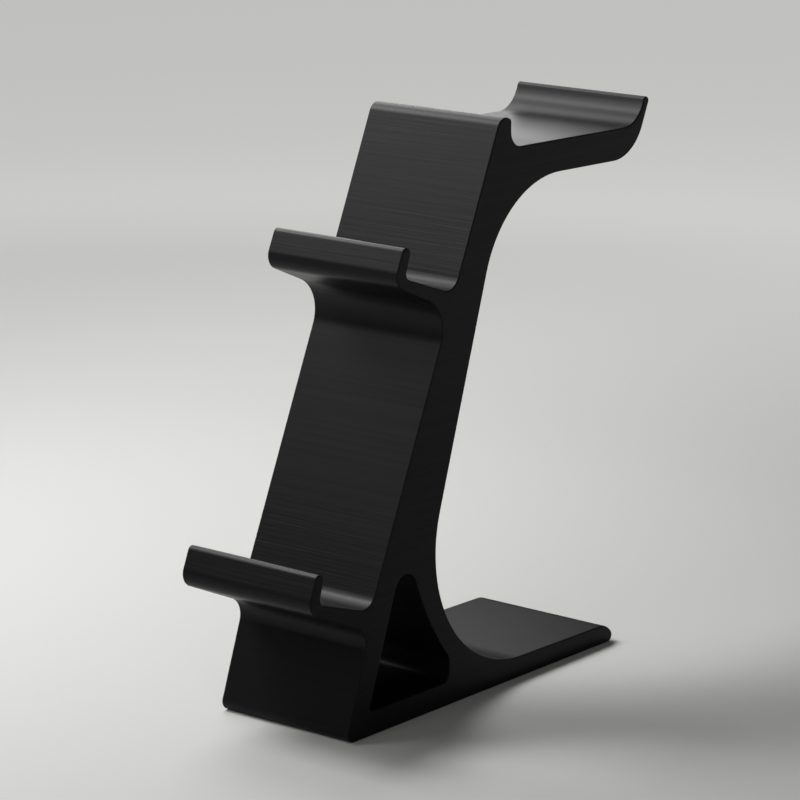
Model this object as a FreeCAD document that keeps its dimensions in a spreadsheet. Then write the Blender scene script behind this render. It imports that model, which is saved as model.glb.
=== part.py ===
import FreeCAD, Part
import math
import os
import Sketcher

# Driving dimensions: name, value in millimetres (degrees where the note says so), note
SIZES = [
    ("width", 70, "side to side, the length of the whole profile"),
    ("foot_length", 190, "toe to heel along the table, between the sharp corners"),
    ("heel_height", 8.6, "thickness of the foot where the heel starts to fall"),
    ("heel_slope", 47.6, "degrees, slope of the heel's end face above the table"),
    ("foot_taper", 0.76, "degrees, rise of the foot's top from heel to column"),
    ("column_depth", 38.1, "toe to the column's rear face, at the foot's top"),
    ("neck_depth", 15.2, "column front to rear where the arm leaves it, measured level"),
    ("leg_lean", 19.4, "degrees from upright, front of the leg under the lower tray"),
    ("leg_setback", 7.3, "toe behind the plane of the back rest, at the table"),
    ("panel_lean", 23.7, "degrees from upright, plane of the back rest"),
    ("lower_tray_height", 53.9, "table to the lower tray's rear inside corner"),
    ("tray_spacing", 124.9, "lower tray to upper tray, corner to corner in height"),
    ("crest_above_tray", 71.4, "upper tray's rear inside corner to the crest"),
    ("lower_tilt", 17.7, "degrees, fall of the lower tray's floor to the rear"),
    ("upper_tilt", 19.7, "degrees, fall of the upper tray's floor to the rear"),
    ("floor_length", 34.2, "tray floor, from the lip to the back rest"),
    ("lip_height", 12.3, "inside face of a tray lip"),
    ("lip_thickness", 5.2, "top of a tray lip"),
    ("lip_front", 16.6, "outside face of a tray lip"),
    ("lip_taper", 4.8, "degrees between the two faces of a tray lip"),
    ("round_gap", 0.4, "flat left between two neighbouring rounds, on a lip, the hook and the heel"),
    ("crest_thickness", 7.6, "top of the crest"),
    ("crest_flat", 2.0, "top of the crest that its front round leaves"),
    ("crest_rise", 12.0, "rear face of the crest above the saddle"),
    ("saddle_length", 91.3, "headset saddle, from the crest to the hook"),
    ("arm_droop", 1.36, "degrees, fall of the arm to the rear"),
    ("arm_thickness", 14.0, "saddle above the arm's underside at the hook"),
    ("hook_lean", 19.9, "degrees from upright, inside face of the hook"),
    ("hook_back_lean", 23.9, "degrees from upright, outside face of the hook"),
    ("hook_tip", 4.0, "top of the hook"),
    ("hook_flat", 1.1, "straight stretch of the hook's inside face"),
    ("rear_sweep", 59.3, "radius from the column's rear down to the foot"),
    ("arm_sweep", 51.8, "radius from the column's rear up to the arm"),
    ("nose_round", 22.2, "radius under the hook"),
    ("saddle_front_fillet", 7.15, "radius from crest to saddle"),
    ("saddle_rear_fillet", 14.4, "radius from saddle to hook"),
    ("crest_rear_round", 1.65, "radius on the crest's rear edge"),
    ("heel_round", 11.3, "radius on top of the heel"),
    ("toe_round", 4.0, "radius on the toe"),
    ("leg_fillet", 8.8, "radius from the leg to the lower tray's underside"),
    ("upper_fillet", 15.6, "radius from the back rest to the upper tray's underside"),
    ("lip_foot_round", 6.35, "radius under a tray lip"),
    ("floor_front_fillet", 3.2, "radius from a tray floor to its lip"),
    ("floor_rear_fillet", 7.5, "radius from a tray floor to the back rest"),
    ("window_sill", 10.5, "window floor above the table"),
    ("window_height", 70.0, "window floor to its sharp top corner"),
    ("window_front_wall", 11.0, "wall between the leg's front and the window"),
    ("window_rear_wall", 10.0, "wall between the rear sweep and the window's shoulder"),
    ("window_upright", 10.5, "upright stretch of the window's rear edge below the shoulder"),
    ("window_bow", 135.0, "radius of the window's bowed rear edge"),
    ("window_top_round", 7.0, "radius in the window's top corner"),
    ("window_shoulder_round", 6.0, "radius in the window's shoulder"),
    ("window_rear_round", 4.0, "radius in the window's lower rear corner"),
    ("window_front_round", 1.5, "radius in the window's lower front corner"),
    ("edge_bevel", 0.5, "bevel around the two sides and the window"),
]

# Corners of the side view in order, roughly placed (to the rear, up); the constraints settle them
OUTLINE = {
    "toe": (-95, 0),
    "heel": (95, 0),
    "heel_top": (87, 9),
    "column_root": (-57, 10),
    "arm_root": (10, 221),
    "nose": (103, 219),
    "hook_out": (114, 244),
    "hook_in": (110, 245),
    "saddle_rear": (106, 233),
    "saddle_front": (14, 235),
    "crest_rear": (14, 247),
    "crest_front": (7, 250),
    "upper_floor_rear": (-24, 179),
    "upper_floor_front": (-56, 190),
    "upper_lip_in": (-52, 202),
    "upper_lip_out": (-57, 204),
    "upper_lip_foot": (-64, 188),
    "upper_root": (-27, 172),
    "lower_floor_rear": (-79, 54),
    "lower_floor_front": (-111, 64),
    "lower_lip_in": (-107, 76),
    "lower_lip_out": (-112, 78),
    "lower_lip_foot": (-119, 62),
    "lower_root": (-79, 45),
}
TRAYS = ("lower", "upper")

# Directions of the edges that start at these corners, degrees from the rearward axis towards up
DIRECTIONS = {
    "heel": "180 - sizes.heel_slope",
    "heel_top": "180 - sizes.foot_taper",
    "arm_root": "-sizes.arm_droop",
    "nose": "90 - sizes.hook_back_lean",
    "hook_out": "180 - sizes.hook_lean",
    "hook_in": "-90 - sizes.hook_lean",
    "saddle_rear": "180 - sizes.arm_droop",
    "saddle_front": "90",
    "crest_rear": "180 - sizes.panel_lean",
    "lower_root": "-90 - sizes.leg_lean",
}

# Radii that follow from other sizes
HOOK_ROUND = "(sizes.hook_tip - sizes.round_gap) / 2"
HEEL_FACE = "sizes.heel_height / sin(sizes.heel_slope)"
HEEL_ROUND_REACH = "sizes.heel_round * tan((sizes.heel_slope - sizes.foot_taper) / 2)"
DERIVED_RADII = {
    "lip_round": "(sizes.lip_thickness - sizes.round_gap) / 2",
    "hook_round": HOOK_ROUND,
    "crest_round": "sizes.crest_thickness - sizes.crest_flat",
    "heel_foot_round": f"({HEEL_FACE} - {HEEL_ROUND_REACH} - sizes.round_gap) * tan(sizes.heel_slope / 2)",
}

# Corners that each further round takes; its radius is the size of the same name or a derived one
ROUNDS = {
    "arm_sweep": ["arm_root"],
    "nose_round": ["nose"],
    "hook_round": ["hook_out", "hook_in"],
    "saddle_rear_fillet": ["saddle_rear"],
    "saddle_front_fillet": ["saddle_front"],
    "crest_rear_round": ["crest_rear"],
    "crest_round": ["crest_front"],
    "heel_round": ["heel_top"],
    "heel_foot_round": ["heel"],
    "toe_round": ["toe"],
    "leg_fillet": ["lower_root"],
    "upper_fillet": ["upper_root"],
    "lip_foot_round": ["lower_lip_foot", "upper_lip_foot"],
    "lip_round": ["lower_lip_in", "lower_lip_out", "upper_lip_in", "upper_lip_out"],
    "floor_front_fillet": ["lower_floor_front", "upper_floor_front"],
    "floor_rear_fillet": ["lower_floor_rear", "upper_floor_rear"],
}

# The hook's inside face is the reach of the saddle's fillet, a short straight stretch and the tip's round
SADDLE_FILLET_REACH = "sizes.saddle_rear_fillet * tan((90 - sizes.hook_lean + sizes.arm_droop) / 2)"
HOOK_FACE = f"{SADDLE_FILLET_REACH} + sizes.hook_flat + {HOOK_ROUND}"

# Lengths of the edges that start at these corners
LENGTHS = {
    "hook_out": "sizes.hook_tip",
    "hook_in": HOOK_FACE,
    "saddle_rear": "sizes.saddle_length",
    "saddle_front": "sizes.crest_rise",
    "crest_rear": "sizes.crest_thickness",
}

# Sketch point numbers and the sketch's own axes
START, END, CENTRE = 1, 2, 3
LEVEL_AXIS = -1
FIRST_EXTERNAL = -3


def make_sheet(doc):
    """The spreadsheet that every dimension of the part reads."""
    sheet = doc.addObject("Spreadsheet::Sheet", "sizes")
    for row, (alias, value, note) in enumerate(SIZES, start=1):
        sheet.set(f"A{row}", alias)
        sheet.set(f"B{row}", str(value))
        sheet.setAlias(f"B{row}", alias)
        sheet.set(f"C{row}", note)
    doc.recompute()
    return sheet


def make_sketch(body, name):
    """A sketch in the side plane through the middle: x runs to the rear and y runs up."""
    sketch = body.newObject("Sketcher::SketchObject", name)
    plane = next(item for item in body.Origin.OriginFeatures if item.Role == "YZ_Plane")
    sketch.AttachmentSupport = (plane, [""])
    sketch.MapMode = "FlatFace"
    return sketch


def relate(sketch, kind, *targets):
    """Adds a geometric constraint."""
    sketch.addConstraint(Sketcher.Constraint(kind, *targets))


def drive(sketch, kind, targets, expression):
    """Adds a dimension that follows an expression on the sheet."""
    value = float(sketch.evalExpression(expression))
    if kind == "Angle":
        value = math.radians(value)
    index = sketch.addConstraint(Sketcher.Constraint(kind, *targets, value))
    sketch.setExpression(f"Constraints[{index}]", expression)


def draw_line(sketch, start, end, construction=False):
    """A straight edge between two rough places."""
    line = Part.LineSegment(FreeCAD.Vector(*start, 0), FreeCAD.Vector(*end, 0))
    return sketch.addGeometry(line, construction)


def draw_outline(sketch):
    """The closed chain of straight edges; gives the edge that starts at each corner."""
    names = list(OUTLINE)
    steps = list(zip(names, names[1:] + names[:1]))
    edges = {}
    for name, following in steps:
        edges[name] = draw_line(sketch, OUTLINE[name], OUTLINE[following])
    for name, following in steps:
        relate(sketch, "Coincident", edges[name], END, edges[following], START)
    return edges


def tray_faces(tray):
    """Directions and lengths of one tray's floor, lip and underside, by starting corner."""
    tilt = f"sizes.{tray}_tilt"
    directions = {
        f"{tray}_floor_rear": f"180 - {tilt}",
        f"{tray}_floor_front": f"90 - {tilt}",
        f"{tray}_lip_in": f"180 - {tilt}",
        f"{tray}_lip_out": f"-90 - {tilt} - sizes.lip_taper",
        f"{tray}_lip_foot": "-sizes.panel_lean",
    }
    lengths = {
        f"{tray}_floor_rear": "sizes.floor_length",
        f"{tray}_floor_front": "sizes.lip_height",
        f"{tray}_lip_in": "sizes.lip_thickness",
        f"{tray}_lip_out": "sizes.lip_front",
    }
    return directions, lengths


def dimension_outline(sketch, edges):
    """Ties every edge of the outline to the sheet."""
    directions = dict(DIRECTIONS)
    lengths = dict(LENGTHS)
    for tray in TRAYS:
        tray_directions, tray_lengths = tray_faces(tray)
        directions.update(tray_directions)
        lengths.update(tray_lengths)
    for corner, expression in directions.items():
        drive(sketch, "Angle", (edges[corner],), expression)
    for corner, expression in lengths.items():
        drive(sketch, "Distance", (edges[corner],), expression)

    # The foot lies on the table with the origin in the middle of its length
    foot = edges["toe"]
    relate(sketch, "Horizontal", foot)
    relate(sketch, "Symmetric", foot, START, foot, END, LEVEL_AXIS, START)
    drive(sketch, "DistanceX", (foot, START, foot, END), "sizes.foot_length")
    drive(sketch, "DistanceY", (edges["heel"], START, edges["heel"], END), "sizes.heel_height")
    drive(sketch, "DistanceX", (foot, START, edges["column_root"], START), "sizes.column_depth")

    # One leaning plane carries the back rest above each tray
    panel = draw_line(sketch, (-102, 0), OUTLINE["crest_front"], construction=True)
    relate(sketch, "PointOnObject", panel, START, LEVEL_AXIS)
    relate(sketch, "Coincident", panel, END, edges["crest_front"], START)
    drive(sketch, "Angle", (panel,), "90 - sizes.panel_lean")
    drive(sketch, "DistanceX", (panel, START, foot, START), "sizes.leg_setback")
    for corner in ("upper_floor_rear", "upper_root", "lower_floor_rear"):
        relate(sketch, "PointOnObject", edges[corner], START, panel)

    # Heights of the trays and the crest
    lower, upper = edges["lower_floor_rear"], edges["upper_floor_rear"]
    drive(sketch, "DistanceY", (LEVEL_AXIS, START, lower, START), "sizes.lower_tray_height")
    drive(sketch, "DistanceY", (lower, START, upper, START), "sizes.tray_spacing")
    drive(sketch, "DistanceY", (upper, START, edges["crest_front"], START), "sizes.crest_above_tray")

    # The arm's thickness, and the column's depth just below the arm
    drive(sketch, "DistanceY", (edges["nose"], START, edges["saddle_rear"], START), "sizes.arm_thickness")
    neck = draw_line(sketch, (-5, 221), OUTLINE["arm_root"], construction=True)
    relate(sketch, "Horizontal", neck)
    relate(sketch, "PointOnObject", neck, START, panel)
    relate(sketch, "Coincident", neck, END, edges["arm_root"], START)
    drive(sketch, "DistanceX", (neck, START, neck, END), "sizes.neck_depth")


def draw_window(sketch, body, sweep_edge):
    """The window in the column: a sill, a short upright, a bowed rear edge and a leaning front edge."""
    front, rear, shoulder, middle, top = (-80, 10), (-27, 10), (-27, 21), (-45, 49), (-55, 80)
    sill = draw_line(sketch, front, rear)
    upright = draw_line(sketch, rear, shoulder)
    bow_points = [FreeCAD.Vector(*place, 0) for place in (top, middle, shoulder)]
    bow = sketch.addGeometry(Part.Arc(*bow_points), False)
    lean = draw_line(sketch, top, front)
    relate(sketch, "Coincident", sill, END, upright, START)
    relate(sketch, "Coincident", upright, END, bow, END)
    relate(sketch, "Coincident", bow, START, lean, START)
    relate(sketch, "Coincident", lean, END, sill, START)

    relate(sketch, "Horizontal", sill)
    relate(sketch, "Vertical", upright)
    drive(sketch, "DistanceY", (LEVEL_AXIS, START, sill, START), "sizes.window_sill")
    drive(sketch, "Angle", (lean,), "-90 - sizes.leg_lean")
    leg_at_sill = "sizes.foot_length / 2 - sizes.window_sill * tan(sizes.leg_lean)"
    wall_at_sill = "sizes.window_front_wall / cos(sizes.leg_lean)"
    drive(sketch, "DistanceX", (sill, START, LEVEL_AXIS, START), f"{leg_at_sill} - {wall_at_sill}")
    drive(sketch, "DistanceY", (sill, START, lean, START), "sizes.window_height")
    drive(sketch, "DistanceY", (upright, START, upright, END), "sizes.window_upright")
    drive(sketch, "Radius", (bow,), "sizes.window_bow")

    # The shoulder stands one wall away from the rear sweep
    sketch.addExternal(body.Tip.Name, sweep_edge)
    centre = sketch.getPoint(FIRST_EXTERNAL, CENTRE)
    wall = sketch.addGeometry(Part.Circle(centre, FreeCAD.Vector(0, 0, 1), centre.y), True)
    relate(sketch, "Coincident", wall, CENTRE, FIRST_EXTERNAL, CENTRE)
    drive(sketch, "Radius", (wall,), "sizes.rear_sweep + sizes.window_rear_wall")
    relate(sketch, "PointOnObject", upright, END, wall)
    return {
        "window_front": (sill, START),
        "window_rear": (upright, START),
        "window_shoulder": (upright, END),
        "window_top": (lean, START),
    }


def across_edges(shape, sketch, points):
    """Names of the shape's edges that run across the stand through points of the sketch."""
    found = []
    for point in points:
        place = sketch.getPoint(*point)
        for number, edge in enumerate(shape.Edges, start=1):
            ends = [vertex.Point for vertex in edge.Vertexes]
            if all(math.hypot(end.y - place.x, end.z - place.y) < 0.001 for end in ends):
                found.append(f"Edge{number}")
    if len(found) != len(points):
        raise RuntimeError(f"{len(found)} edges found for {len(points)} corners of {sketch.Name}")
    return found


def side_edges(shape):
    """Names of all edges around the two flat sides."""
    sides = [face for face in shape.Faces if abs(face.normalAt(0, 0).x) > 0.999]
    around = [edge for face in sides for edge in face.Edges]
    return [
        f"Edge{number}"
        for number, edge in enumerate(shape.Edges, start=1)
        if any(edge.isSame(other) for other in around)
    ]


def round_corners(body, name, sketch, points):
    """A fillet on the edges across the stand at points of the sketch."""
    base = body.Tip
    fillet = body.newObject("PartDesign::Fillet", name)
    fillet.Base = (base, across_edges(base.Shape, sketch, points))
    fillet.setExpression("Radius", DERIVED_RADII.get(name, f"sizes.{name}"))
    body.Document.recompute()


def bevel_sides(body):
    """A small bevel around both flat sides, the window included."""
    base = body.Tip
    bevel = body.newObject("PartDesign::Chamfer", "edge_bevel")
    bevel.Base = (base, side_edges(base.Shape))
    bevel.setExpression("Size", "sizes.edge_bevel")
    body.Document.recompute()


def sweep_outline(body):
    """Name of the arc that the rear sweep leaves on the right side."""
    shape = body.Tip.Shape
    arcs = [
        (edge.CenterOfMass.x, f"Edge{number}")
        for number, edge in enumerate(shape.Edges, start=1)
        if isinstance(edge.Curve, Part.Circle)
    ]
    return max(arcs)[1]


def make_stand(doc):
    """The whole stand: one profile across the width, a window through it, rounds and bevelled sides."""
    body = doc.addObject("PartDesign::Body", "stand")
    body.Label = "stand"
    body.Placement = FreeCAD.Placement()

    outline = make_sketch(body, "side_outline")
    edges = draw_outline(outline)
    dimension_outline(outline, edges)
    doc.recompute()
    profile = body.newObject("PartDesign::Pad", "profile")
    profile.Profile = outline
    profile.SideType = "Symmetric"
    profile.setExpression("Length", "sizes.width")
    doc.recompute()
    round_corners(body, "rear_sweep", outline, [(edges["column_root"], START)])

    window_outline = make_sketch(body, "window_outline")
    window_corners = draw_window(window_outline, body, sweep_outline(body))
    doc.recompute()
    window = body.newObject("PartDesign::Pocket", "window")
    window.Profile = window_outline
    window.SideType = "Symmetric"
    window.Type = "ThroughAll"
    doc.recompute()
    for corner, point in window_corners.items():
        round_corners(body, f"{corner}_round", window_outline, [point])

    for name, corners in ROUNDS.items():
        round_corners(body, name, outline, [(edges[corner], START) for corner in corners])
    bevel_sides(body)
    return body


def check(doc):
    """Stops if any object of the document failed or has a bad shape."""
    for item in doc.Objects:
        if "Invalid" in item.State or "Error" in item.State:
            raise RuntimeError(f"{item.Name} failed: {item.State}")
        if item.isDerivedFrom("PartDesign::Feature") or item.isDerivedFrom("PartDesign::Body"):
            if item.Shape.isNull() or not item.Shape.isValid():
                raise RuntimeError(f"{item.Name} has no valid shape")


doc = FreeCAD.newDocument("controller_and_headset_stand")
make_sheet(doc)
stand = make_stand(doc)
doc.recompute()
check(doc)
os.makedirs("parts", exist_ok=True)
stand.Shape.exportStep(f"parts/{stand.Label}.step")
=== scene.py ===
"""A printed stand for two game controllers and a headset, with its finish and a plain studio."""

import math

import bmesh
import bpy
from bpy.props import (
    FloatProperty, FloatVectorProperty, IntProperty, PointerProperty, StringProperty)
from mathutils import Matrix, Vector
from mathutils.geometry import intersect_line_sphere_2d


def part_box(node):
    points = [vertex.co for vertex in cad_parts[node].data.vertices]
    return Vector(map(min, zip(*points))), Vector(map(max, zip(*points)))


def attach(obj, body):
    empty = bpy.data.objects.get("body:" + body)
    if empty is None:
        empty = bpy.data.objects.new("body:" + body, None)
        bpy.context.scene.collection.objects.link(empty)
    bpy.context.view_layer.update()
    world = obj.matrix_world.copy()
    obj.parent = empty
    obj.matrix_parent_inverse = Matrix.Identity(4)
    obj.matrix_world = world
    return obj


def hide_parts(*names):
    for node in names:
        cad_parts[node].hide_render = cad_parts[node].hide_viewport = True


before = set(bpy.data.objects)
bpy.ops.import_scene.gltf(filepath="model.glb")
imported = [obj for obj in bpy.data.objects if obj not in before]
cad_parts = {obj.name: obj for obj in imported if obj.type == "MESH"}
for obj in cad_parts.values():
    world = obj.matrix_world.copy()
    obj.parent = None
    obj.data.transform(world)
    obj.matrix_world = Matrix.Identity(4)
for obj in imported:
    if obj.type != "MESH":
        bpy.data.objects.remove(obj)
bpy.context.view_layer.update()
CAD_LOW, CAD_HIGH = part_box("stand")

bl_info = {
    "name": "Controller and headset stand",
    "version": (1, 0, 0),
    "blender": (4, 5, 0),
    "location": "View3D > Sidebar > Stand",
    "description": "Builds a printed stand with two trays, a hooked arm and a long foot",
    "category": "Add Mesh",
}

MM = 0.001

HAIR = 0.001 * MM  # two points closer than this are one
FLAT = 0.999  # a face whose normal is this much along the width is one of the flat sides
SORT_LINE = Vector((0.31, 0.57, 0.76))  # askew, so that no two points share a place along it

# Depth of the print lines at each height, as a share of the full relief
SMOOTH_LINES = 0.15
LOWER_TRAY_LINES = 1
UPPER_TRAY_LINES = 0.85
BACK_REST_LINES = 0.5
ARM_LINES = 0.4

# Level of the noise in the streaks that are darkest, palest, roughest and smoothest
DARK_STREAK, PALE_STREAK = 0.3, 0.75
ROUGH_STREAK, SMOOTH_STREAK = 0.3, 0.7

NOISE_ROUGHNESS = 0.55
LINE_DETAIL, STREAK_DETAIL = 1, 2

FLOOR_ROUGHNESS = 0.9
FLOOR_SEGMENTS = 96
FLOOR_GAP = 0.1 * MM  # keeps the floor clear of the stand's underside
SENSOR_WIDTH = 36  # millimetres, as the lens is
LAMPS = ("key", "over", "front", "low", "rim", "fill", "edge")


def length(label, millimetres, note):
    """A length that a user may change."""
    return FloatProperty(
        name=label, description=note, default=millimetres * MM, min=0, precision=5,
        subtype="DISTANCE", unit="LENGTH")


def angle(label, degrees, note):
    """An angle that a user may change."""
    return FloatProperty(
        name=label, description=note, default=math.radians(degrees), precision=3,
        subtype="ANGLE", unit="ROTATION")


def share(label, value, note):
    """A number from nothing to the whole that a user may change."""
    return FloatProperty(
        name=label, description=note, default=value, min=0, max=1, subtype="FACTOR")


def power(label, watts, note):
    """A lamp's power that a user may change."""
    return FloatProperty(name=label, description=note, default=watts, min=0, unit="POWER")


def place(label, metres, note):
    """A place in the room that a user may change."""
    return FloatVectorProperty(
        name=label, description=note, default=metres, subtype="XYZ", unit="LENGTH")


def hex_colour(label, value, note):
    """An sRGB colour, as six hex digits, that a user may change."""
    return StringProperty(name=label, description=note, default=value, maxlen=7)


class StandSizes(bpy.types.PropertyGroup):
    """Sizes of the stand's side view, whose front is where the user sits."""

    width: length("Width", (CAD_HIGH.x - CAD_LOW.x) / MM, "Side to side")
    edge_round: length("Edge round", 0.5, "Radius around the two sides and the window")
    edge_steps: IntProperty(
        name="Edge steps", description="Facets across an edge round", default=3, min=1)
    facet: angle("Facet", 3, "Turn of one facet of a round")

    foot_length: length("Foot length", 190, "Toe to heel along the table, between sharp corners")
    heel_height: length("Heel height", 8.6, "Thickness of the foot where the heel starts to fall")
    heel_slope: angle("Heel slope", 47.6, "Slope of the heel's end face above the table")
    foot_taper: angle("Foot taper", 0.76, "Rise of the foot's top from heel to column")
    column_depth: length("Column depth", 38.1, "Toe to the column's rear face, at the foot's top")
    neck_depth: length("Neck depth", 15.2, "Column front to rear where the arm leaves it")

    leg_lean: angle("Leg lean", 19.4, "Front of the leg from upright, under the lower tray")
    leg_setback: length("Leg setback", 7.3, "Toe behind the plane of the back rest, at the table")
    panel_lean: angle("Back rest lean", 23.7, "Plane of the back rest from upright")

    lower_height: length("Lower tray height", 53.9, "Table to the lower tray's rear inside corner")
    tray_spacing: length("Tray spacing", 124.9, "Lower tray to upper tray, in height")
    crest_above_tray: length("Crest above tray", 71.4, "Upper tray's rear corner to the crest")
    lower_tilt: angle("Lower tilt", 17.7, "Fall of the lower tray's floor to the rear")
    upper_tilt: angle("Upper tilt", 19.7, "Fall of the upper tray's floor to the rear")
    floor_length: length("Tray floor", 34.2, "From the lip to the back rest")
    lip_height: length("Lip height", 12.3, "Inside face of a tray lip")
    lip_thickness: length("Lip thickness", 5.2, "Top of a tray lip")
    lip_front: length("Lip front", 16.6, "Outside face of a tray lip")
    lip_taper: angle("Lip taper", 4.8, "Angle between the two faces of a tray lip")

    crest_thickness: length("Crest thickness", 7.6, "Top of the crest")
    crest_rise: length("Crest rise", 12, "Rear face of the crest above the saddle")
    saddle_length: length("Saddle length", 91.3, "Headset saddle, from the crest to the hook")
    arm_droop: angle("Arm droop", 1.36, "Fall of the arm to the rear")
    arm_thickness: length("Arm thickness", 14, "Saddle above the arm's underside at the hook")
    hook_lean: angle("Hook lean", 19.9, "Inside face of the hook from upright")
    hook_back_lean: angle("Hook back lean", 23.9, "Outside face of the hook from upright")
    hook_face: length("Hook face", 13.26, "Inside face of the hook, between its sharp corners")
    hook_tip: length("Hook tip", 4, "Top of the hook")

    rear_sweep: length("Rear sweep", 59.3, "Radius from the column's rear down to the foot")
    arm_sweep: length("Arm sweep", 51.8, "Radius from the column's rear up to the arm")
    nose_round: length("Nose round", 22.2, "Radius under the hook")
    hook_round: length("Hook round", 1.8, "Radius on the hook's two top edges")
    saddle_rear_fillet: length("Saddle rear fillet", 14.4, "Radius from saddle to hook")
    saddle_front_fillet: length("Saddle front fillet", 7.15, "Radius from crest to saddle")
    crest_rear_round: length("Crest rear round", 1.65, "Radius on the crest's rear edge")
    crest_round: length("Crest round", 5.6, "Radius on the crest's front edge")
    heel_round: length("Heel round", 11.3, "Radius on top of the heel")
    heel_foot_round: length("Heel foot round", 2.8, "Radius under the heel")
    toe_round: length("Toe round", 4, "Radius on the toe")
    leg_fillet: length("Leg fillet", 8.8, "Radius from the leg to the lower tray's underside")
    upper_fillet: length("Upper fillet", 15.6, "Radius from back rest to upper tray's underside")
    lip_foot_round: length("Lip foot round", 6.35, "Radius under a tray lip")
    lip_round: length("Lip round", 2.4, "Radius on a lip's two top edges")
    floor_front_fillet: length("Floor front fillet", 3.2, "Radius from a tray floor to its lip")
    floor_rear_fillet: length("Floor rear fillet", 7.5, "Radius from a tray floor to the back rest")

    window_sill: length("Window sill", 10.5, "Window floor above the table")
    window_height: length("Window height", 70, "Window floor to its sharp top corner")
    window_front_wall: length("Window front wall", 11, "Wall from the leg's front to the window")
    window_rear_wall: length("Window rear wall", 10, "Wall from the rear sweep to the shoulder")
    window_upright: length("Window upright", 10.5, "Upright part of the edge below the shoulder")
    window_bow: length("Window bow", 135, "Radius of the window's bowed rear edge")
    window_top_round: length("Window top round", 7, "Radius in the window's top corner")
    window_shoulder_round: length("Window shoulder round", 6, "Radius in the window's shoulder")
    window_rear_round: length("Window rear round", 4, "Radius in the lower rear corner")
    window_front_round: length("Window front round", 1.5, "Radius in the lower front corner")


class StandFinish(bpy.types.PropertyGroup):
    """The printed plastic's colour and surface."""

    plastic: hex_colour("Plastic", "#0D0D0F", "Colour of the plastic")
    plastic_pale: hex_colour(
        "Plastic, pale layers", "#131315", "Colour of layers that were laid a little thicker")
    roughness: share("Roughness", 0.38, "Roughness of the plastic, halfway between its streaks")
    roughness_stray: share("Roughness stray", 0.03, "How far a streak's roughness strays")
    refraction: FloatProperty(
        name="Refraction", description="Index of refraction of the plastic", default=1.46, min=1)
    specular: share(
        "Specular", 0.12, "Strength of the mirrored light, which is half for smooth plastic")
    layer_line: length("Layer line", 1.0, "Height of one printed line as drawn")
    line_length: length("Line length", 65, "Length over which a line swells and fades")
    relief: length("Relief", 0.07, "Depth of the lines")
    band_reach: length("Band reach", 24, "How far above a tray the lines stand out")
    streak_length: length("Streak length", 200, "Length of a streak along a layer")
    streak_height: length("Streak height", 1.6, "Height of a band of like layers")


class StageSettings(bpy.types.PropertyGroup):
    """The floor, the light and the camera."""

    floor: hex_colour("Floor", "#BCBCBA", "Colour of the floor")
    floor_glow: share(
        "Floor glow", 1, "Share of its colour that the far floor shows without the lamps")
    floor_lit: place("Lit place", (-0.15, -0.05, 0), "Middle of the floor under the lamps")
    floor_near: length("Lit floor", 400, "Reach of the floor that the lamps alone light")
    floor_far: length("Far floor", 1150, "Distance from which the floor has its full glow")
    floor_radius: length("Floor radius", 12000, "Reach of the floor round the stand")
    room_light: FloatProperty(
        name="Room light", description="Strength of the light from all round", default=0.03, min=0)
    key_power: power("Key power", 5.4, "Power of the lamp high on the stand's left")
    key_size: length("Key size", 300, "Side of the key lamp")
    key_place: place("Key place", (-0.49, -0.183, 0.76), "Where the key lamp hangs")
    over_power: power("Over power", 3.2, "Power of the lamp high up, between the key and the rim")
    over_size: length("Over size", 400, "Side of the over lamp")
    over_place: place("Over place", (-0.49, 0.24, 0.72), "Where the over lamp hangs")
    front_power: power("Front power", 1.4, "Power of the lamp in front of the key")
    front_size: length("Front size", 300, "Side of the front lamp")
    front_place: place("Front place", (-0.49, -0.382, 0.667), "Where the front lamp hangs")
    low_power: power("Low power", 1.4, "Power of the lamp lower in front, on the left")
    low_size: length("Low size", 400, "Side of the low lamp")
    low_place: place("Low place", (-0.6, -0.7, 0.62), "Where the low lamp hangs")
    rim_power: power("Rim power", 1.1, "Power of the lamp behind the stand, on the left")
    rim_size: length("Rim size", 300, "Side of the rim lamp")
    rim_place: place("Rim place", (-0.49, 0.527, 0.466), "Where the rim lamp hangs")
    fill_power: power("Fill power", 2.2, "Power of the lamp straight in front")
    fill_size: length("Fill size", 700, "Side of the fill lamp")
    fill_place: place("Fill place", (0.1, -1, 0.75), "Where the fill lamp hangs")
    edge_power: power("Edge power", 1.5, "Power of the lamp in front, on the right")
    edge_size: length("Edge size", 400, "Side of the edge lamp")
    edge_place: place("Edge place", (1.1, -0.8, 0.55), "Where the edge lamp hangs")
    camera_azimuth: angle(
        "Camera azimuth", 39.25, "Direction of the camera, from the front towards the right")
    camera_elevation: angle("Camera elevation", 13.788, "Angle of the camera above level")
    camera_distance: length("Camera distance", 1550.4, "Camera to the point that it aims at")
    camera_aim: place("Camera aim", (0, -0.0167, 0.1266), "Point in the middle of the picture")
    lens: FloatProperty(
        name="Lens", description="Focal length", default=163.67, min=1, unit="CAMERA")


def along(turn):
    """Unit vector in the side view, turned from rearward towards up."""
    return Vector((math.cos(turn), math.sin(turn)))


def meet(point, direction, other, other_direction):
    """Where two lines of the side view cross."""
    reach = (other - point).cross(other_direction) / direction.cross(other_direction)
    return point + direction * reach


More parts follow.
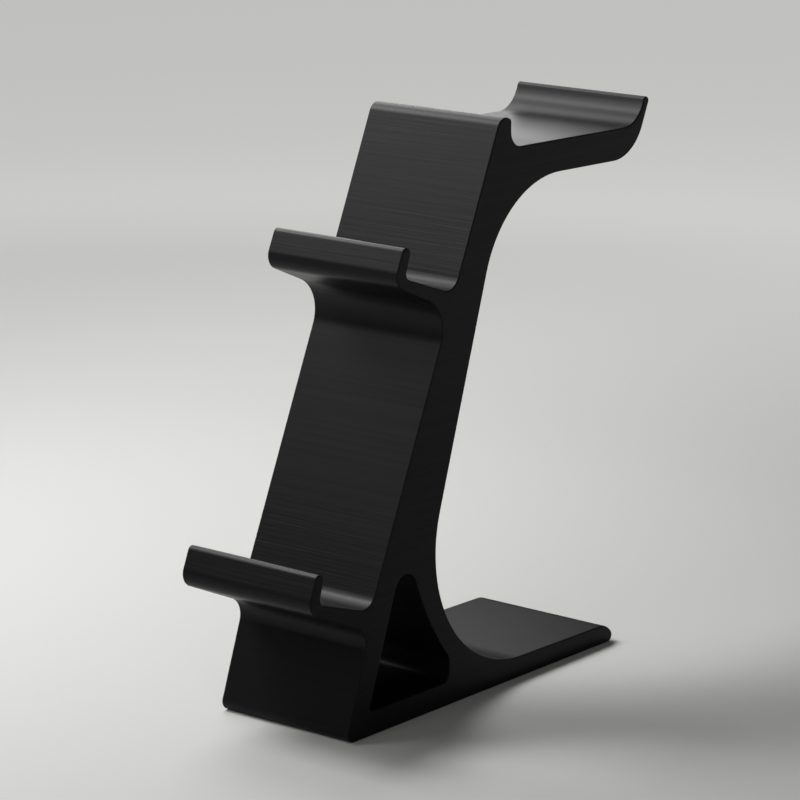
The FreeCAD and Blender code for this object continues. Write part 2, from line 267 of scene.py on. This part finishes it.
def tray_corners(sizes, tray, floor_rear, carrier, carrier_direction):
    """Corners of one tray, from its floor's rear round the lip to the column."""
    tilt = getattr(sizes, f"{tray}_tilt")
    fore = along(math.pi - tilt)
    floor_front = floor_rear + fore * sizes.floor_length
    lip_in = floor_front + along(math.pi / 2 - tilt) * sizes.lip_height
    lip_out = lip_in + fore * sizes.lip_thickness
    lip_foot = lip_out + along(-math.pi / 2 - tilt - sizes.lip_taper) * sizes.lip_front
    root = meet(lip_foot, along(-sizes.panel_lean), carrier, carrier_direction)
    return {
        f"{tray}_floor_rear": (floor_rear, sizes.floor_rear_fillet),
        f"{tray}_floor_front": (floor_front, sizes.floor_front_fillet),
        f"{tray}_lip_in": (lip_in, sizes.lip_round),
        f"{tray}_lip_out": (lip_out, sizes.lip_round),
        f"{tray}_lip_foot": (lip_foot, sizes.lip_foot_round),
        f"{tray}_root": (root, sizes.leg_fillet if tray == "lower" else sizes.upper_fillet),
    }


def stand_corners(sizes):
    """Sharp corners of the side view in order from the toe, each with the radius of its round."""
    half_foot = sizes.foot_length / 2
    toe = Vector((-half_foot, 0))
    leg = along(math.pi / 2 - sizes.leg_lean)

    heel = Vector((half_foot, 0))
    heel_face = along(math.pi - sizes.heel_slope)
    heel_top = heel + heel_face * sizes.heel_height / math.sin(sizes.heel_slope)
    upright = Vector((0, 1))
    root_line = Vector((sizes.column_depth - half_foot, 0))
    column_root = meet(heel_top, along(math.pi - sizes.foot_taper), root_line, upright)

    panel_foot = Vector((-half_foot - sizes.leg_setback, 0))
    panel = along(math.pi / 2 - sizes.panel_lean)
    lower_height = sizes.lower_height
    upper_height = lower_height + sizes.tray_spacing
    crest_height = upper_height + sizes.crest_above_tray
    lower_rear, upper_rear, crest_front = (
        panel_foot + panel * height / panel.y
        for height in (lower_height, upper_height, crest_height)
    )

    crest_rear = crest_front + along(-sizes.panel_lean) * sizes.crest_thickness
    saddle_front = crest_rear - upright * sizes.crest_rise
    saddle_rear = saddle_front + along(-sizes.arm_droop) * sizes.saddle_length
    hook_in = saddle_rear + along(math.pi / 2 - sizes.hook_lean) * sizes.hook_face
    hook_out = hook_in + along(-sizes.hook_lean) * sizes.hook_tip
    level = Vector((1, 0))
    hook_back = along(math.pi / 2 - sizes.hook_back_lean)
    nose = meet(hook_out, hook_back, saddle_rear - upright * sizes.arm_thickness, level)
    neck = panel_foot + level * sizes.neck_depth
    arm_root = meet(nose, along(math.pi - sizes.arm_droop), neck, panel)

    return {
        "toe": (toe, sizes.toe_round),
        "heel": (heel, sizes.heel_foot_round),
        "heel_top": (heel_top, sizes.heel_round),
        "column_root": (column_root, sizes.rear_sweep),
        "arm_root": (arm_root, sizes.arm_sweep),
        "nose": (nose, sizes.nose_round),
        "hook_out": (hook_out, sizes.hook_round),
        "hook_in": (hook_in, sizes.hook_round),
        "saddle_rear": (saddle_rear, sizes.saddle_rear_fillet),
        "saddle_front": (saddle_front, sizes.saddle_front_fillet),
        "crest_rear": (crest_rear, sizes.crest_rear_round),
        "crest_front": (crest_front, sizes.crest_round),
        **tray_corners(sizes, "upper", upper_rear, panel_foot, panel),
        **tray_corners(sizes, "lower", lower_rear, toe, leg),
    }


def corner_round(before, corner, after, radius):
    """Start, centre and end of the round in the corner between two straight edges."""
    back = (before - corner).normalized()
    ahead = (after - corner).normalized()
    half = back.angle(ahead) / 2
    reach = radius / math.tan(half)
    centre = corner + (back + ahead).normalized() * radius / math.sin(half)
    return corner + back * reach, centre, corner + ahead * reach


def stand_rounds(sizes):
    """All rounds of the side view in order, as start, centre and end."""
    corners = list(stand_corners(sizes).values())
    before = corners[-1:] + corners[:-1]
    after = corners[1:] + corners[:1]
    return [
        corner_round(previous, corner, following, radius)
        for (previous, _), (corner, radius), (following, _) in zip(before, corners, after)
    ]


def bow_round(point, direction, radius, bow, bow_radius):
    """Round between a straight edge, on its left, and the bow: its centre and its place on both."""
    inward = Vector((-direction.y, direction.x)) * radius
    start = point + inward
    found = intersect_line_sphere_2d(start, start + direction, bow, bow_radius + radius, False)
    centre = min(found, key=lambda crossing: (crossing - point).length)
    return centre, centre - inward, bow + (centre - bow).normalized() * bow_radius


def window_rounds(sizes, sweep_centre):
    """All rounds of the window in order from its front corner, as start, centre and end."""
    leg = along(math.pi / 2 - sizes.leg_lean)
    toe = Vector((-sizes.foot_length / 2, 0))
    wall = Vector((sizes.window_front_wall / math.cos(sizes.leg_lean), 0))
    front = toe + wall + leg * sizes.window_sill / leg.y
    top = front + leg * sizes.window_height / leg.y

    # The shoulder stands one wall away from the rear sweep
    shoulder_height = sizes.window_sill + sizes.window_upright
    wall_radius = sizes.rear_sweep + sizes.window_rear_wall
    drop = sweep_centre.y - shoulder_height
    shoulder = Vector((sweep_centre.x - math.sqrt(wall_radius ** 2 - drop ** 2), shoulder_height))
    rear = Vector((shoulder.x, sizes.window_sill))

    # The rear edge bows into the window, round a centre behind the column
    chord = top - shoulder
    rise = math.sqrt(sizes.window_bow ** 2 - chord.length_squared / 4)
    bow = (shoulder + top) / 2 + Vector((chord.y, -chord.x)).normalized() * rise
    shoulder_centre, shoulder_start, bow_start = bow_round(
        shoulder, Vector((0, 1)), sizes.window_shoulder_round, bow, sizes.window_bow)
    top_centre, top_end, bow_end = bow_round(
        top, -leg, sizes.window_top_round, bow, sizes.window_bow)
    return [
        corner_round(top, front, rear, sizes.window_front_round),
        corner_round(front, rear, shoulder, sizes.window_rear_round),
        (shoulder_start, shoulder_centre, bow_start),
        (bow_start, bow, bow_end),
        (bow_end, top_centre, top_end),
    ]


def draw_outline(bm, rounds, x, facet):
    """A closed chain of edges in the plane at x: spun arcs for the rounds, and straight edges."""
    ends = []
    for start, centre, end in rounds:
        turn = -(start - centre).angle_signed(end - centre)
        first = bm.verts.new((x, *start))
        arc = bmesh.ops.spin(
            bm, geom=[first], cent=(x, *centre), axis=(1, 0, 0), angle=turn,
            steps=max(2, math.ceil(abs(turn) / facet)), use_duplicate=False)
        last = next(item for item in arc["geom_last"] if isinstance(item, bmesh.types.BMVert))
        ends.append((first, last))
    for (_, last), (following, _) in zip(ends, ends[1:] + ends[:1]):
        if (last.co - following.co).length > HAIR:
            bm.edges.new((last, following))


def round_side(bm, side, radius, steps):
    """Rounds the edges of one flat side: narrow insets climb a quarter circle from its walls."""
    flat = [face for face in bm.faces if face.normal.x * side > FLAT]
    for step in range(steps):
        low, high = (math.pi / 2 * number / steps for number in (step, step + 1))
        bmesh.ops.inset_region(
            bm, faces=flat, use_boundary=True, use_even_offset=True,
            thickness=radius * (math.cos(low) - math.cos(high)),
            depth=radius * (math.sin(high) - math.sin(low)))


def model_stand(sizes):
    """The stand's mesh: its side view and window, drawn out across the width, sides rounded."""
    bm = bmesh.new()
    side_x = sizes.width / 2 - sizes.edge_round
    rounds = stand_rounds(sizes)
    sweep_centre = rounds[list(stand_corners(sizes)).index("column_root")][1]
    draw_outline(bm, rounds, -side_x, sizes.facet)
    draw_outline(bm, window_rounds(sizes, sweep_centre), -side_x, sizes.facet)
    bmesh.ops.remove_doubles(bm, verts=bm.verts, dist=HAIR)

    filled = bmesh.ops.triangle_fill(bm, use_beauty=True, edges=bm.edges, normal=(-1, 0, 0))
    faces = [item for item in filled["geom"] if isinstance(item, bmesh.types.BMFace)]
    drawn = bmesh.ops.extrude_face_region(bm, geom=faces)
    far = [item for item in drawn["geom"] if isinstance(item, bmesh.types.BMVert)]
    bmesh.ops.translate(bm, vec=(2 * side_x, 0, 0), verts=far)
    bmesh.ops.recalc_face_normals(bm, faces=bm.faces)
    for side in (-1, 1):
        round_side(bm, side, sizes.edge_round, sizes.edge_steps)
    for face in bm.faces:
        face.smooth = True

    # Extruding leaves the walls in no fixed order, so the points and faces are put in one
    bm.verts.sort(key=lambda vert: vert.co.dot(SORT_LINE))
    bm.faces.sort(key=lambda face: face.calc_center_median().dot(SORT_LINE))

    mesh = bpy.data.meshes.new("printed_stand")
    bm.to_mesh(mesh)
    bm.free()
    return mesh


def linear(hex_value):
    """Linear colour, with full alpha, of an sRGB hex value."""
    digits = hex_value.lstrip("#")
    levels = [int(digits[start:start + 2], 16) / 255 for start in (0, 2, 4)]
    # The sRGB curve has a short straight foot
    return [
        level / 12.92 if level <= 0.04045 else ((level + 0.055) / 1.055) ** 2.4
        for level in levels
    ] + [1]


def add_node(tree, kind, settings=None, inputs=None):
    """A node with its settings; each input is a value, or an output of another node to link to."""
    node = tree.nodes.new(kind)
    for name, value in (settings or {}).items():
        setattr(node, name, value)
    for name, value in (inputs or {}).items():
        if isinstance(value, bpy.types.NodeSocket):
            tree.links.new(value, node.inputs[name])
        else:
            node.inputs[name].default_value = value
    return node


def layered_noise(tree, position, along_layer, across_layers, detail):
    """Noise that is long along the layers and short across them."""
    scale = (1 / along_layer, 1 / along_layer, 1 / across_layers)
    stretched = add_node(tree, "ShaderNodeMapping", None, {"Vector": position, "Scale": scale})
    return add_node(tree, "ShaderNodeTexNoise", None, {
        "Vector": stretched.outputs["Vector"],
        "Scale": 1,
        "Detail": detail,
        "Roughness": NOISE_ROUGHNESS,
    }).outputs["Fac"]


def line_depth(tree, position, sizes, finish):
    """How deep the lines are at each height: deepest on the lips and just above each tray."""
    top = CAD_HIGH.z
    lower = sizes.lower_height
    upper = lower + sizes.tray_spacing
    reach = finish.band_reach
    depths = {
        0: SMOOTH_LINES,
        lower - reach: SMOOTH_LINES,
        lower: LOWER_TRAY_LINES,
        lower + reach: LOWER_TRAY_LINES,
        lower + 2 * reach: SMOOTH_LINES,
        upper - reach: SMOOTH_LINES,
        upper: UPPER_TRAY_LINES,
        upper + reach: UPPER_TRAY_LINES,
        upper + 2 * reach: BACK_REST_LINES,
        top: ARM_LINES,
    }
    height = add_node(tree, "ShaderNodeSeparateXYZ", None, {"Vector": position})
    part = add_node(tree, "ShaderNodeMapRange", None, {
        "Value": height.outputs["Z"],
        "From Max": top,
    })
    ramp = add_node(tree, "ShaderNodeValToRGB", None, {"Fac": part.outputs["Result"]})
    stops = ramp.color_ramp.elements
    stops.remove(stops[-1])
    for level, depth in depths.items():
        stop = stops.new(level / top) if level else stops[0]
        stop.color = (depth, depth, depth, 1)
    return ramp.outputs["Color"]


def printed_plastic(sizes, finish):
    """PLA printed upright in level layers, in matte black."""
    # A printed skin is matte: a lamp makes a broad, dim sheen on it, and the layers break that
    # into fine level lines
    material = bpy.data.materials.new("Matte black PLA, printed in level layers")
    material.use_nodes = True
    tree = material.node_tree
    tree.nodes.clear()
    position = add_node(tree, "ShaderNodeTexCoord").outputs["Object"]

    # Real layers are about 0.2 mm high; they are drawn coarser, or the render wouldn't show them
    lines = layered_noise(tree, position, finish.line_length, finish.layer_line, LINE_DETAIL)
    height = add_node(tree, "ShaderNodeMath", {"operation": "MULTIPLY"}, {
        0: lines,
        1: line_depth(tree, position, sizes, finish),
    })
    bump = add_node(tree, "ShaderNodeBump", None, {
        "Height": height.outputs["Value"],
        "Strength": 1,
        "Distance": finish.relief,
    })

    # The feed of plastic varies a little, so that like layers make long streaks
    streaks = layered_noise(
        tree, position, finish.streak_length, finish.streak_height, STREAK_DETAIL)
    colour = add_node(tree, "ShaderNodeValToRGB", None, {"Fac": streaks})
    dark_stop, pale_stop = colour.color_ramp.elements
    dark_stop.position, dark_stop.color = DARK_STREAK, linear(finish.plastic)
    pale_stop.position, pale_stop.color = PALE_STREAK, linear(finish.plastic_pale)
    roughness = add_node(tree, "ShaderNodeMapRange", None, {
        "Value": streaks,
        "From Min": ROUGH_STREAK,
        "From Max": SMOOTH_STREAK,
        "To Min": finish.roughness + finish.roughness_stray,
        "To Max": finish.roughness - finish.roughness_stray,
    })

    shader = add_node(tree, "ShaderNodeBsdfPrincipled", None, {
        "Base Color": colour.outputs["Color"],
        "Roughness": roughness.outputs["Result"],
        "IOR": finish.refraction,
        "Specular IOR Level": finish.specular,
        "Normal": bump.outputs["Normal"],
    })
    add_node(tree, "ShaderNodeOutputMaterial", None, {"Surface": shader.outputs["BSDF"]})
    return material


class STAND_OT_add_stand(bpy.types.Operator):
    """Model the printed stand and finish it"""

    bl_idname = "stand.add_stand"
    bl_label = "Add printed stand"

    def execute(self, context):
        scene = context.scene
        mesh = model_stand(scene.stand_sizes)
        mesh.materials.append(printed_plastic(scene.stand_sizes, scene.stand_finish))
        stand = bpy.data.objects.new("printed_stand", mesh)
        scene.collection.objects.link(stand)
        weighted = stand.modifiers.new("Flat faces stay flat", "WEIGHTED_NORMAL")
        weighted.mode = "FACE_AREA"
        weighted.keep_sharp = True
        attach(stand, "root")
        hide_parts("stand")
        return {"FINISHED"}


def painted_floor(stage):
    """Matte pale paint, which stays pale to the eye and in a reflection where no lamp reaches."""
    # Matte paint scatters light evenly, so the floor has soft shadows and no highlight
    material = bpy.data.materials.new("Matte painted floor")
    material.use_nodes = True
    tree = material.node_tree
    tree.nodes.clear()
    paint = add_node(tree, "ShaderNodeBsdfPrincipled", None, {
        "Base Color": linear(stage.floor),
        "Roughness": FLOOR_ROUGHNESS,
    })

    path = add_node(tree, "ShaderNodeLightPath").outputs
    seen = path["Is Camera Ray"]
    for ray in ("Is Glossy Ray", "Is Transmission Ray"):
        seen = add_node(tree, "ShaderNodeMath", {"operation": "ADD", "use_clamp": True}, {
            0: seen,
            1: path[ray],
        }).outputs["Value"]
    position = add_node(tree, "ShaderNodeTexCoord").outputs["Object"]
    distance = add_node(tree, "ShaderNodeVectorMath", {"operation": "DISTANCE"}, {
        0: position,
        1: stage.floor_lit,
    })
    far = add_node(tree, "ShaderNodeMapRange", {"interpolation_type": "SMOOTHSTEP"}, {
        "Value": distance.outputs["Value"],
        "From Min": stage.floor_near,
        "From Max": stage.floor_far,
        "To Max": stage.floor_glow,
    })
    strength = add_node(tree, "ShaderNodeMath", {"operation": "MULTIPLY"}, {
        0: seen,
        1: far.outputs["Result"],
    })
    glow = add_node(tree, "ShaderNodeEmission", None, {
        "Color": linear(stage.floor),
        "Strength": strength.outputs["Value"],
    })
    both = add_node(tree, "ShaderNodeAddShader", None, {
        0: paint.outputs["BSDF"],
        1: glow.outputs["Emission"],
    })
    add_node(tree, "ShaderNodeOutputMaterial", None, {"Surface": both.outputs["Shader"]})
    return material


def add_floor(stage):
    """A plain pale floor that reaches past the picture on all sides."""
    bm = bmesh.new()
    bmesh.ops.create_circle(
        bm, cap_ends=True, segments=FLOOR_SEGMENTS, radius=stage.floor_radius)
    bmesh.ops.translate(bm, vec=(0, 0, -FLOOR_GAP), verts=bm.verts)
    mesh = bpy.data.meshes.new("floor")
    bm.to_mesh(mesh)
    bm.free()
    mesh.materials.append(painted_floor(stage))
    floor = bpy.data.objects.new("floor", mesh)
    bpy.context.scene.collection.objects.link(floor)


def add_lamp(stage, name):
    """A square soft lamp that faces the stand and doesn't show in the picture itself."""
    light = bpy.data.lights.new(name, "AREA")
    light.shape = "SQUARE"
    light.size = getattr(stage, f"{name}_size")
    light.energy = getattr(stage, f"{name}_power")
    lamp = bpy.data.objects.new(name, light)
    lamp.location = getattr(stage, f"{name}_place")
    facing = Vector(stage.camera_aim) - lamp.location
    lamp.rotation_euler = facing.to_track_quat("-Z", "Y").to_euler()
    lamp.visible_camera = False
    bpy.context.scene.collection.objects.link(lamp)


def add_light(stage):
    """Dim light from all round, a key lamp high on the left and weaker lamps round the stand."""
    world = bpy.data.worlds.new("Room light")
    world.use_nodes = True
    background = world.node_tree.nodes["Background"]
    background.inputs["Color"].default_value = (1, 1, 1, 1)
    background.inputs["Strength"].default_value = stage.room_light
    bpy.context.scene.world = world
    for name in LAMPS:
        add_lamp(stage, name)


def add_camera(stage):
    """The camera, level, at the photograph's viewing angle."""
    level = math.cos(stage.camera_elevation)
    back = Vector((
        math.sin(stage.camera_azimuth) * level,
        -math.cos(stage.camera_azimuth) * level,
        math.sin(stage.camera_elevation)))
    data = bpy.data.cameras.new("camera")
    data.lens = stage.lens
    data.sensor_width = SENSOR_WIDTH
    camera = bpy.data.objects.new("camera", data)
    camera.location = Vector(stage.camera_aim) + back * stage.camera_distance
    camera.rotation_euler = (-back).to_track_quat("-Z", "Y").to_euler()
    bpy.context.scene.collection.objects.link(camera)
    bpy.context.scene.camera = camera


class STAND_OT_add_stage(bpy.types.Operator):
    """Set the floor, the light and the camera"""

    bl_idname = "stand.add_stage"
    bl_label = "Add stage"

    def execute(self, context):
        stage = context.scene.stand_stage
        add_floor(stage)
        add_light(stage)
        add_camera(stage)
        context.scene.view_settings.view_transform = "Standard"
        return {"FINISHED"}


class VIEW3D_PT_stand(bpy.types.Panel):
    """The stand's operators and settings"""

    bl_label = "Stand"
    bl_category = "Stand"
    bl_space_type = "VIEW_3D"
    bl_region_type = "UI"

    def draw(self, context):
        scene = context.scene
        self.layout.operator(STAND_OT_add_stand.bl_idname)
        self.layout.operator(STAND_OT_add_stage.bl_idname)
        for settings in (scene.stand_sizes, scene.stand_finish, scene.stand_stage):
            column = self.layout.column(align=True)
            for name in settings.__annotations__:
                column.prop(settings, name)


CLASSES = (
    StandSizes,
    StandFinish,
    StageSettings,
    STAND_OT_add_stand,
    STAND_OT_add_stage,
    VIEW3D_PT_stand,
)


def register():
    """Registers the classes and hangs the settings on the scene."""
    for item in CLASSES:
        bpy.utils.register_class(item)
    bpy.types.Scene.stand_sizes = PointerProperty(type=StandSizes)
    bpy.types.Scene.stand_finish = PointerProperty(type=StandFinish)
    bpy.types.Scene.stand_stage = PointerProperty(type=StageSettings)


def unregister():
    """Takes the settings off the scene and the classes out again."""
    del bpy.types.Scene.stand_sizes
    del bpy.types.Scene.stand_finish
    del bpy.types.Scene.stand_stage
    for item in reversed(CLASSES):
        bpy.utils.unregister_class(item)


def main():
    """Builds the stand and its stage."""
    register()
    bpy.ops.stand.add_stand()
    bpy.ops.stand.add_stage()


if __name__ == "__main__":
    main()
